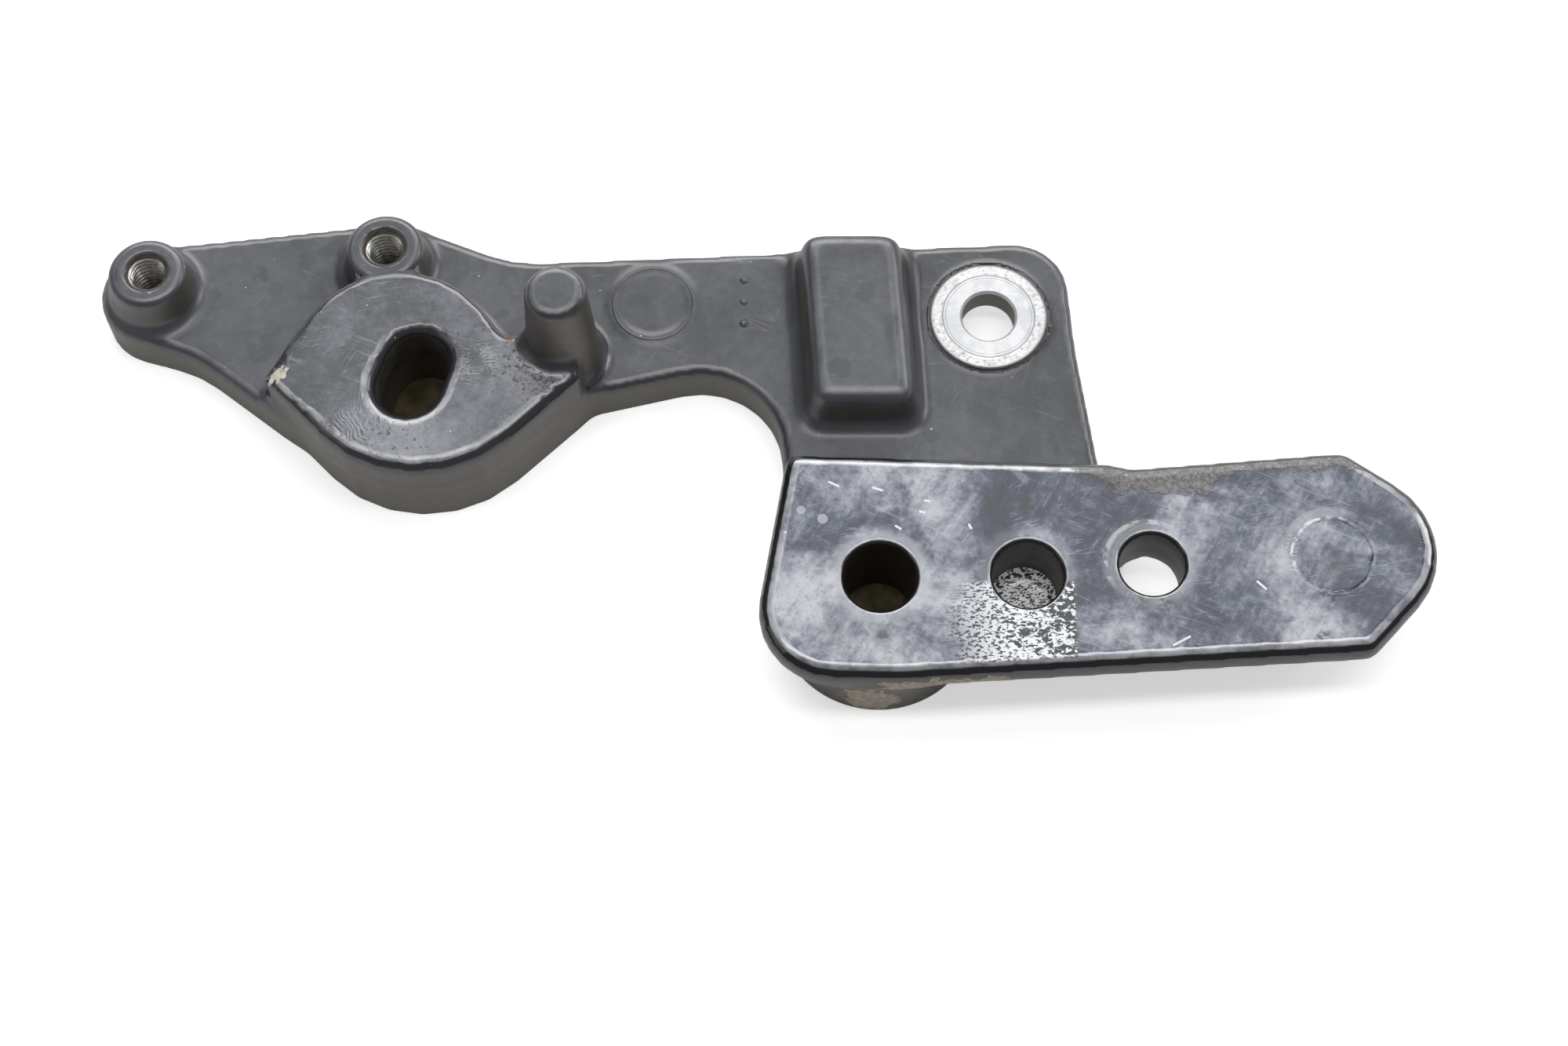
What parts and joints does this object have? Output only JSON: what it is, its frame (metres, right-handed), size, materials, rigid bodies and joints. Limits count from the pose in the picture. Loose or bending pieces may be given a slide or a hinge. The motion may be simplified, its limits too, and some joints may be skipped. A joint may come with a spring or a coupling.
{
  "type": "forward control mounting bracket",
  "caption": "Painted die-cast bracket with a long drilled bar, a slotted cam pad, a stop post, tapped bosses and an ear with a machined ring.",
  "frame": {"origin": "on the axis of bar hole 1, in the plane of the back faces on which the bracket lies", "axes": "+X along the bar towards its nose, +Y across it towards the ear, +Z along the hole axes towards the front face"},
  "size_m": [0.2674, 0.1052, 0.039],
  "materials": {
    "bracket": "worn gloss black paint over cast aluminium"
  },
  "bodies": {
    "root": {"bracket": "bracket"}
  },
  "joints": []
}
